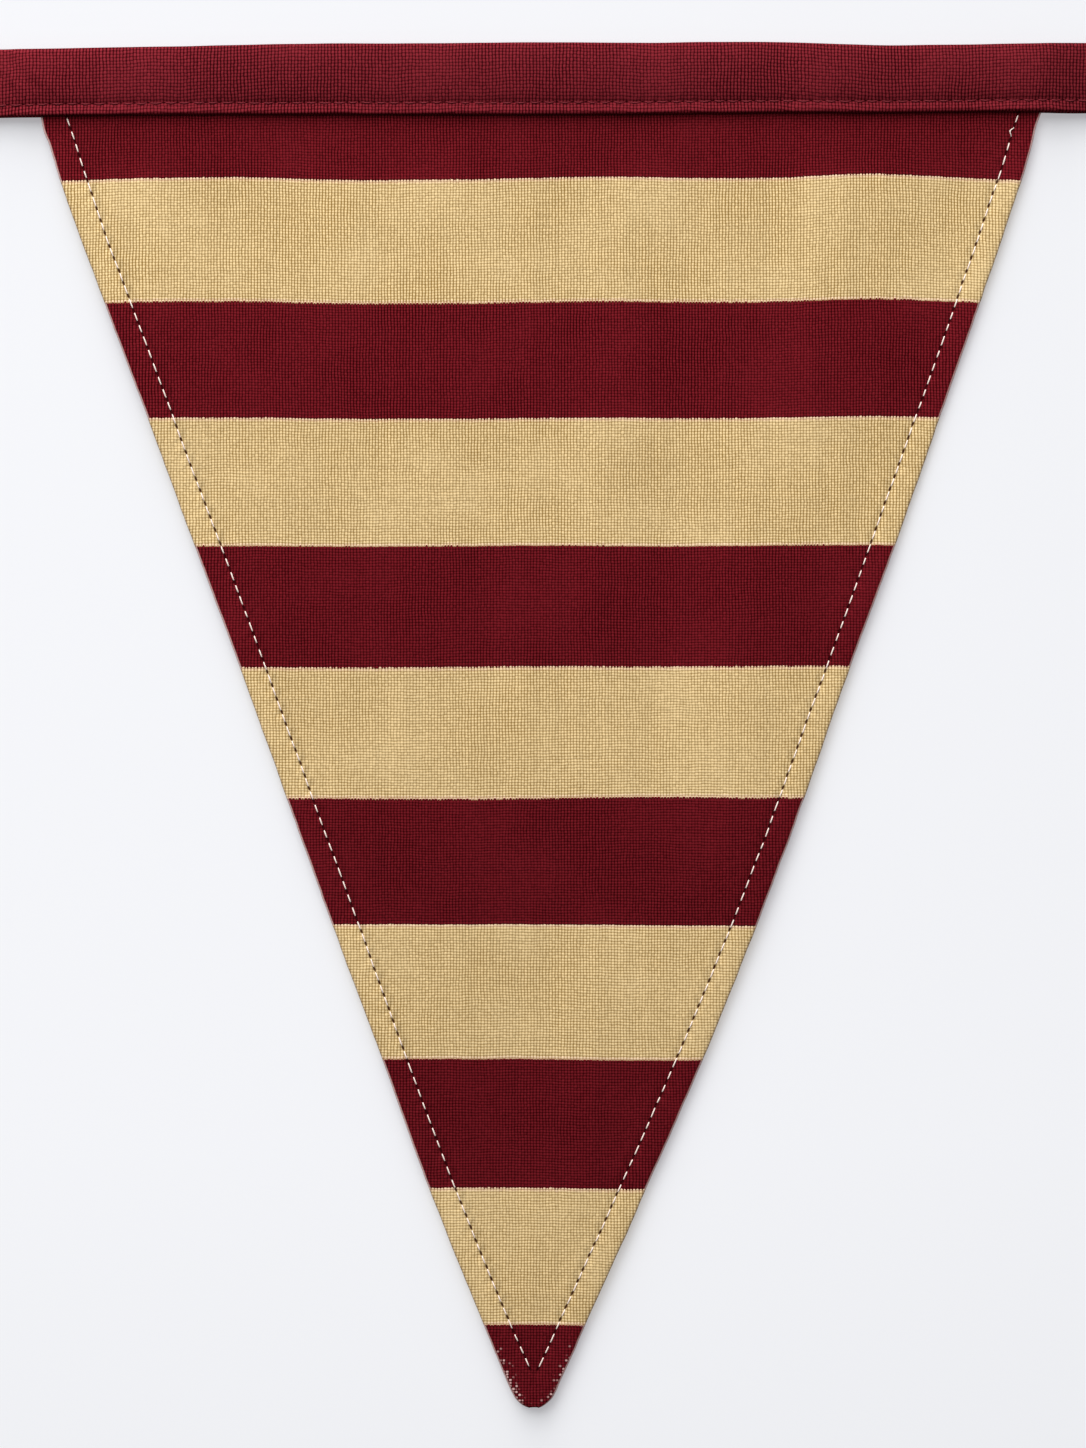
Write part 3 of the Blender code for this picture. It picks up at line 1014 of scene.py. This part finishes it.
def sewn_seam(tree, stitch_length, hole_length, hole_width, pucker_reach, pucker_height):
    """Adds what sewing does to the cloth: a hole at each end of a stitch, dark with painted shade, and
    puckers.

    Returns the hole's darkness from 0 to 1, the pucker's height in millimetres, and how far the
    place is inward of the seam, in millimetres.
    """
    place = add_node(tree, "SeparateXYZ", {0: add_node(tree, "UVMap", uv_map="seam")["UV"]})
    shifted = add_node(tree, "Math", {0: place["X"], 1: 0.5}, operation="ADD")[0]
    part = add_node(tree, "Math", {0: shifted}, operation="FRACT")[0]
    from_hole = add_node(tree, "Math", {0: part, 1: 0.5}, operation="SUBTRACT")[0]
    lengthways = add_node(
        tree, "Math", {0: from_hole, 1: 2 * stitch_length / hole_length}, operation="MULTIPLY"
    )[0]
    sideways = add_node(tree, "Math", {0: place["Y"], 1: 2 / hole_width}, operation="MULTIPLY")[0]
    spot = add_node(tree, "CombineXYZ", {"X": lengthways, "Y": sideways})[0]
    far = add_node(tree, "VectorMath", {0: spot}, operation="LENGTH")["Value"]
    hole = add_node(
        tree, "MapRange",
        {
            "Value": far,
            "From Min": HOLE_FADE[0],
            "From Max": HOLE_FADE[1],
            "To Min": 1.0,
            "To Max": 0.0,
        },
    )[0]
    slanted = add_node(
        tree, "Math", {0: place["Y"], 1: PUCKER_SLANT, 2: place["X"]}, operation="MULTIPLY_ADD"
    )[0]
    turn = add_node(tree, "Math", {0: slanted, 1: math.tau}, operation="MULTIPLY")[0]
    wave = add_node(tree, "Math", {0: turn}, operation="COSINE")[0]
    distance = add_node(tree, "Math", {0: place["Y"]}, operation="ABSOLUTE")[0]
    near = add_node(
        tree, "MapRange",
        {
            "Value": distance,
            "From Min": PUCKER_FROM,
            "From Max": pucker_reach,
            "To Min": -pucker_height,
            "To Max": 0.0,
        },
        interpolation_type="SMOOTHSTEP",
    )[0]
    pucker = add_node(tree, "Math", {0: wave, 1: near}, operation="MULTIPLY")[0]
    return {"hole": hole, "pucker": pucker, "inward": place["Y"]}


def dyed_and_shaded_threads(tree, weave, gap_hex, top_hex):
    """Adds the dye's colour, with painted shade between the threads and painted light on top."""
    # Painted shade between the threads and painted light on top of them
    painted_lit = add_node(
        tree, "MapRange",
        {"Value": weave["relief"], "From Min": LIT_RELIEF[0], "From Max": LIT_RELIEF[1]},
        interpolation_type="SMOOTHSTEP",
    )[0]
    return add_node(
        tree, "Mix", {"Factor": painted_lit, "A": linear_colour(gap_hex), "B": linear_colour(top_hex)},
        data_type="RGBA",
    )[2]


def cloth_tone(tree, weave):
    """Adds the unevenness of dye and yarn over the cloth, as a brightness around 1."""
    place = weave["place"]
    cloudy = add_node(tree, "TexNoise", {"Vector": place, "Scale": 1 / DYE_CLOUD, "Detail": 4.0})[0]
    stretched = add_node(tree, "VectorMath", {0: place, 1: STREAKS_PER_MM}, operation="MULTIPLY")[0]
    streaky = add_node(tree, "TexNoise", {"Vector": stretched, "Scale": 1.0, "Detail": 2.0})[0]
    spreads = ((cloudy, 0.16), (streaky, 0.12), (weave["yarn"], 0.08), (weave["chance"], 0.05))
    tone = 1.0
    for value, spread in spreads:
        level = add_node(
            tree, "MapRange", {"Value": value, "To Min": 1 - spread / 2, "To Max": 1 + spread / 2}
        )[0]
        tone = add_node(tree, "Math", {0: level, 1: tone}, operation="MULTIPLY")[0]
    return tone


def finish_cloth(tree, shader, dyed, weave, seam, seam_shade, painted_hole_shade):
    """Sets the cloth's colour, its woven and sewn relief, and its dry cotton finish."""
    tone = cloth_tone(tree, weave)
    shaded = add_node(tree, "Math", {0: tone, 1: seam_shade}, operation="MULTIPLY")[0]
    toned = add_node(tree, "VectorMath", {0: dyed, "Scale": shaded}, operation="SCALE")[0]
    # Painted shade in the needle holes
    pierced = add_node(
        tree, "Mix", {"Factor": seam["hole"], "A": toned, "B": painted_hole_shade}, data_type="RGBA"
    )[2]
    woven = add_node(
        tree, "Math", {0: weave["relief"], 1: THREAD_RELIEF, 2: seam["pucker"]}, operation="MULTIPLY_ADD"
    )[0]
    sunk = add_node(tree, "Math", {0: seam["hole"], 1: -HOLE_DEPTH, 2: woven}, operation="MULTIPLY_ADD")[0]
    bump = add_node(tree, "Bump", {"Height": sunk, "Strength": 1.0, "Distance": MM})[0]
    tree.links.new(pierced, shader.inputs["Base Color"])
    tree.links.new(bump, shader.inputs["Normal"])
    shader.inputs["Metallic"].default_value = 0.0
    shader.inputs["Roughness"].default_value = 0.88
    shader.inputs["IOR"].default_value = 1.5
    shader.inputs["Specular IOR Level"].default_value = 0.02


def stripe_pattern(tree, weave, stripes_down):
    """Adds the stripes' pattern, whose edges step from thread to thread.

    Returns 1 where the cloth is gold, or else 0, and 1 along a stripe's edges, or else 0.
    """
    stepped = add_node(
        tree, "Math", {0: weave["relief"], 1: EDGE_STEP / STRIPE_HEIGHT, 2: stripes_down},
        operation="MULTIPLY_ADD",
    )[0]
    ragged = add_node(
        tree, "Math", {0: weave["warp"], 1: EDGE_RAGGED / STRIPE_HEIGHT, 2: stepped},
        operation="MULTIPLY_ADD",
    )[0]
    counted = add_node(tree, "Math", {0: ragged, 1: EDGE_BACK / STRIPE_HEIGHT}, operation="SUBTRACT")[0]
    whole = add_node(tree, "Math", {0: counted}, operation="FLOOR")[0]
    is_gold = add_node(tree, "Math", {0: whole, 1: 2.0}, operation="FLOORED_MODULO")[0]
    part = add_node(tree, "Math", {0: counted, 1: whole}, operation="SUBTRACT")[0]
    from_middle = add_node(tree, "Math", {0: part, 1: 0.5}, operation="SUBTRACT")[0]
    either_way = add_node(tree, "Math", {0: from_middle}, operation="ABSOLUTE")[0]
    at_edge = add_node(
        tree, "Math", {0: either_way, 1: 0.5 - EDGE_ROW / STRIPE_HEIGHT}, operation="GREATER_THAN"
    )[0]
    return is_gold, at_edge


def striped_dye(tree, weave, stripes_down, is_gold, at_edge):
    """Adds the two dyes: burgundy, darkened downward with painted shade, and gold, rosier at its edges."""
    # Painted shade: the burgundy darkens down the cloth, as the light falls off
    painted_falloff_shade = add_node(
        tree, "MapRange",
        {
            "Value": stripes_down,
            "From Min": FALLOFF_SHADE_RUN[0],
            "From Max": FALLOFF_SHADE_RUN[1],
            "To Min": 1.0,
            "To Max": FALLOFF_SHADE_DARKEST,
        },
    )[0]
    burgundy = dyed_and_shaded_threads(tree, weave, *BURGUNDY)
    burgundy = add_node(tree, "VectorMath", {0: burgundy, "Scale": painted_falloff_shade}, operation="SCALE")[0]
    gold = dyed_and_shaded_threads(tree, weave, *GOLD)
    edge_gold = dyed_and_shaded_threads(tree, weave, *EDGE_GOLD)
    gold = add_node(tree, "Mix", {"Factor": at_edge, "A": gold, "B": edge_gold}, data_type="RGBA")[2]
    return add_node(tree, "Mix", {"Factor": is_gold, "A": burgundy, "B": gold}, data_type="RGBA")[2]


def wear_and_fold_highlight_share(tree, weave, wear_and_fold_highlight, is_gold):
    """Adds pale crossings of wear near the tip, and a thin painted highlight along the burgundy folds."""
    rubbed = add_node(tree, "Math", {0: weave["chance"], 1: wear_and_fold_highlight}, operation="ADD")[0]
    rubbed = add_node(
        tree, "MapRange", {"Value": rubbed, "From Min": 1.0, "From Max": 1.25, "To Max": 0.80}
    )[0]
    peak = add_node(
        tree, "MapRange",
        {"Value": weave["relief"], "From Min": PEAK_RELIEF[0], "From Max": PEAK_RELIEF[1]},
    )[0]
    rubbed = add_node(tree, "Math", {0: rubbed, 1: peak}, operation="MULTIPLY")[0]
    strongest = add_node(
        tree, "MapRange", {"Value": is_gold, "To Min": FOLD_HIGHLIGHT_STRENGTH[0], "To Max": FOLD_HIGHLIGHT_STRENGTH[1]}
    )[0]
    # Painted highlight: a thin pale line along the folded edges, strongest on burgundy
    line = add_node(
        tree, "MapRange", {"Value": wear_and_fold_highlight, "From Min": 0.0, "From Max": -1.0, "To Max": strongest}
    )[0]
    return add_node(tree, "Math", {0: rubbed, 1: line}, operation="MAXIMUM")[0]


def hem_shade(tree, inward):
    """Adds the hem's margin, lighter for its doubled cloth and painted light, and painted shade in a
    crease.
    """
    # The doubled cloth's own brightness with painted light outside the seam
    margin = add_node(
        tree, "MapRange",
        {"Value": inward, "From Min": -0.9, "From Max": 0.0, "To Min": 1.05, "To Max": 1.0},
    )[0]
    # Painted shade of a soft crease beside the seam
    beside = add_node(tree, "Math", {0: inward, 1: 0.5}, operation="SUBTRACT")[0]
    either_way = add_node(tree, "Math", {0: beside}, operation="ABSOLUTE")[0]
    painted_crease_shade = add_node(
        tree, "MapRange",
        {"Value": either_way, "From Min": 0.1, "From Max": 1.5, "To Min": 0.88, "To Max": 1.0},
        interpolation_type="SMOOTHSTEP",
    )[0]
    return add_node(tree, "Math", {0: margin, 1: painted_crease_shade}, operation="MULTIPLY")[0]


def striped_cotton():
    """Plain-weave cotton with woven burgundy and gold stripes: matt, with a fine grain of threads."""
    material, tree, shader = new_material("striped_cotton")
    weave = woven_threads(tree, WARP_PITCH, WEFT_PITCH, STRIPED_WANDER, STRIPED_ROUNDNESS)
    seam = sewn_seam(
        tree, SIDE_STITCH, hole_length=1.1, hole_width=0.46, pucker_reach=2.4, pucker_height=0.05
    )
    stripe = add_node(tree, "SeparateXYZ", {0: add_node(tree, "UVMap", uv_map="stripe")["UV"]})
    is_gold, at_edge = stripe_pattern(tree, weave, stripe["X"])
    dyed = striped_dye(tree, weave, stripe["X"], is_gold, at_edge)
    wear_and_highlight = wear_and_fold_highlight_share(tree, weave, stripe["Y"], is_gold)
    # Mixes in the pale wear and the painted highlight along the folds
    dyed = add_node(
        tree, "Mix", {"Factor": wear_and_highlight, "A": dyed, "B": linear_colour(PALE_WEAR_AND_HIGHLIGHT)}, data_type="RGBA"
    )[2]
    painted_hole_shade = add_node(
        tree, "Mix",
        {"Factor": is_gold, "A": linear_colour(IN_BURGUNDY_HOLE), "B": linear_colour(IN_GOLD_HOLE)},
        data_type="RGBA",
    )[2]
    finish_cloth(tree, shader, dyed, weave, seam, hem_shade(tree, seam["inward"]), painted_hole_shade)
    return material


def tape_shade(tree, inward, along_tape):
    """Adds painted shade above the sewn row and on the lip, and painted light and shade along the tape."""
    # Painted shade above the sewn row and on the lip; painted light at the tape's left end and painted
    # shade at its right end
    runs = [(inward, -3.6, -0.6, 1.0, 0.93), (inward, 0.2, 2.0, 0.80, 0.85)]
    runs += [(along_tape, start, end, 1.0, share) for start, end, share in TAPE_END_LIGHT_AND_SHADE]
    shade = 1.0
    for value, start, end, first, last in runs:
        level = add_node(
            tree, "MapRange",
            {"Value": value, "From Min": start, "From Max": end, "To Min": first, "To Max": last},
            interpolation_type="SMOOTHSTEP",
        )[0]
        shade = add_node(tree, "Math", {0: level, 1: shade}, operation="MULTIPLY")[0]
    return shade


def tape_cotton():
    """Burgundy plain-weave cotton tape, pressed and folded: matt, a little lighter than the stripes."""
    material, tree, shader = new_material("tape_cotton")
    weave = woven_threads(tree, TAPE_PITCH, TAPE_PITCH, TAPE_WANDER, TAPE_ROUNDNESS)
    seam = sewn_seam(
        tree, TAPE_STITCH, hole_length=0.55, hole_width=0.34, pucker_reach=2.4, pucker_height=0.035
    )
    dyed = dyed_and_shaded_threads(tree, weave, *TAPE_BURGUNDY)
    along_tape = add_node(tree, "SeparateXYZ", {0: weave["place"]})["X"]
    shade = tape_shade(tree, seam["inward"], along_tape)
    finish_cloth(tree, shader, dyed, weave, seam, shade, linear_colour(IN_TAPE_HOLE))
    return material


def sewing_thread(name, hex_text):
    """Spun and twisted sewing thread: smoother than the cloth, so each stitch has a soft highlight."""
    material, tree, shader = new_material(name)
    place = add_node(tree, "TexCoord")["Object"]
    fibres = add_node(
        tree, "TexNoise", {"Vector": place, "Scale": THREAD_FIBRES_PER_METRE, "Detail": 2.0}
    )[0]
    light = add_node(tree, "MapRange", {"Value": fibres, "To Min": 0.80, "To Max": 1.15})[0]
    plain = linear_colour(hex_text)[:3]
    colour = add_node(tree, "VectorMath", {0: plain, "Scale": light}, operation="SCALE")[0]
    tree.links.new(colour, shader.inputs["Base Color"])
    shader.inputs["Roughness"].default_value = 0.6
    shader.inputs["Metallic"].default_value = 0.0
    shader.inputs["Specular IOR Level"].default_value = 0.12
    return material


def pale_paper():
    """Matt white paper, painted lighter below and lit by a glow of its own, and clear when seen from
    behind.
    """
    material, tree, shader = new_material("pale_paper")
    place = add_node(tree, "SeparateXYZ", {0: add_node(tree, "NewGeometry")["Position"]})
    # Painted light: the paper grows lighter towards the bottom
    down = add_node(
        tree, "MapRange", {"Value": place["Z"], "From Min": PAPER_RUN[0], "From Max": PAPER_RUN[1]}
    )[0]
    paper = add_node(
        tree, "Mix", {"Factor": down, "A": linear_colour(PAPER[0]), "B": linear_colour(PAPER[1])},
        data_type="RGBA",
    )[2]
    tree.links.new(paper, shader.inputs["Base Color"])
    # Painted light: a glow that lifts the shadows on the wall
    shader.inputs["Emission Color"].default_value = linear_colour(ROOM)
    shader.inputs["Emission Strength"].default_value = WALL_GLOW
    shader.inputs["Roughness"].default_value = 1.0
    shader.inputs["Specular IOR Level"].default_value = 0.0
    clear = add_node(tree, "BsdfTransparent")[0]
    behind = add_node(tree, "NewGeometry")["Backfacing"]
    mixed = add_node(tree, "MixShader", {0: behind, 1: shader.outputs[0], 2: clear})[0]
    tree.links.new(mixed, tree.nodes["Material Output"].inputs["Surface"])
    return material


def painted_floor():
    """Matt pale paint."""
    material, _, shader = new_material("pale_floor")
    shader.inputs["Base Color"].default_value = linear_colour(FLOOR)
    shader.inputs["Roughness"].default_value = 0.95
    return material


def build_stage():
    """Makes the pale wall just behind the tape, seen from its front only, and a pale floor."""
    for name, size, place, tilt, material in (
        ("pale_wall", WALL_SIZE, (0, WALL_GAP * MM, 0), math.pi / 2, pale_paper()),
        ("pale_floor", FLOOR_SIZE, (0, 0, -FLOOR_DEPTH * MM), 0.0, painted_floor()),
    ):
        bpy.ops.mesh.primitive_plane_add(size=size, location=place, rotation=(tilt, 0, 0))
        backdrop = bpy.context.object
        backdrop.name = name
        backdrop.data.materials.append(material)
        for ray in ("visible_diffuse", "visible_glossy", "visible_shadow", "visible_transmission"):
            setattr(backdrop, ray, False)


def add_softbox(name, place, size, power):
    """Adds a square softbox at a place, facing the middle of the flag."""
    light = bpy.data.lights.new(name, "AREA")
    light.size = size
    light.energy = power
    light.color = LIGHT_COLOUR
    lamp = bpy.data.objects.new(name, light)
    lamp.location = place
    lamp.rotation_euler = (Vector(LIGHT_AIM) - Vector(place)).to_track_quat("-Z", "Y").to_euler()
    bpy.context.scene.collection.objects.link(lamp)


def light_studio():
    """Lights the flag softly from the upper left, in an even pale room."""
    world = bpy.data.worlds.new("pale_room")
    world.use_nodes = True
    tree = world.node_tree
    background = tree.nodes["Background"]
    seen = add_node(tree, "LightPath")["Is Camera Ray"]
    strength = add_node(tree, "MapRange", {"Value": seen, "To Min": ROOM_LIGHT, "To Max": ROOM_SEEN})[0]
    background.inputs["Color"].default_value = linear_colour(ROOM)
    tree.links.new(strength, background.inputs["Strength"])
    bpy.context.scene.world = world
    for softbox in SOFTBOXES:
        add_softbox(*softbox)
    view = bpy.context.scene.view_settings
    view.view_transform = "Standard"
    view.look = "None"


def place_camera():
    """Puts the camera square to the flag, with the photograph's frame at the flag's plane."""
    frame_height = PHOTO_HEIGHT / PIXELS_PER_MM * MM
    x = (PHOTO_WIDTH / 2 - ORIGIN_PIXEL[0]) / PIXELS_PER_MM * MM
    z = -(PHOTO_HEIGHT / 2 - ORIGIN_PIXEL[1]) / PIXELS_PER_MM * MM
    data = bpy.data.cameras.new("camera")
    data.sensor_width = SENSOR
    data.lens = SENSOR * CAMERA_DISTANCE / frame_height
    camera = bpy.data.objects.new("camera", data)
    camera.location = (x, PENNANT_HANG_Y * MM - CAMERA_DISTANCE, z)
    camera.rotation_euler = (math.pi / 2, 0, 0)
    bpy.context.scene.collection.objects.link(camera)
    bpy.context.scene.camera = camera


place_camera()
light_studio()
build_stage()

pennant = build_pennant(striped_cotton())
tape = build_tape(tape_cotton())
cream = sewing_thread("cream_thread", CREAM)
tonal = sewing_thread("burgundy_thread", TONAL)
side_threads = [
    thread_piece("topstitch_front", side_stitches(False), SIDE_THREAD, cream),
    thread_piece("topstitch_back", side_stitches(True), SIDE_THREAD, cream),
]
tape_threads = [
    thread_piece("tape_stitch_front", tape_stitches(False), TAPE_THREAD, tonal),
    thread_piece("tape_stitch_back", tape_stitches(True), TAPE_THREAD, tonal),
]

for piece in (pennant, tape, *side_threads, *tape_threads):
    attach(piece, "root")
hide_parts("pennant")
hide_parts("heading_tape")
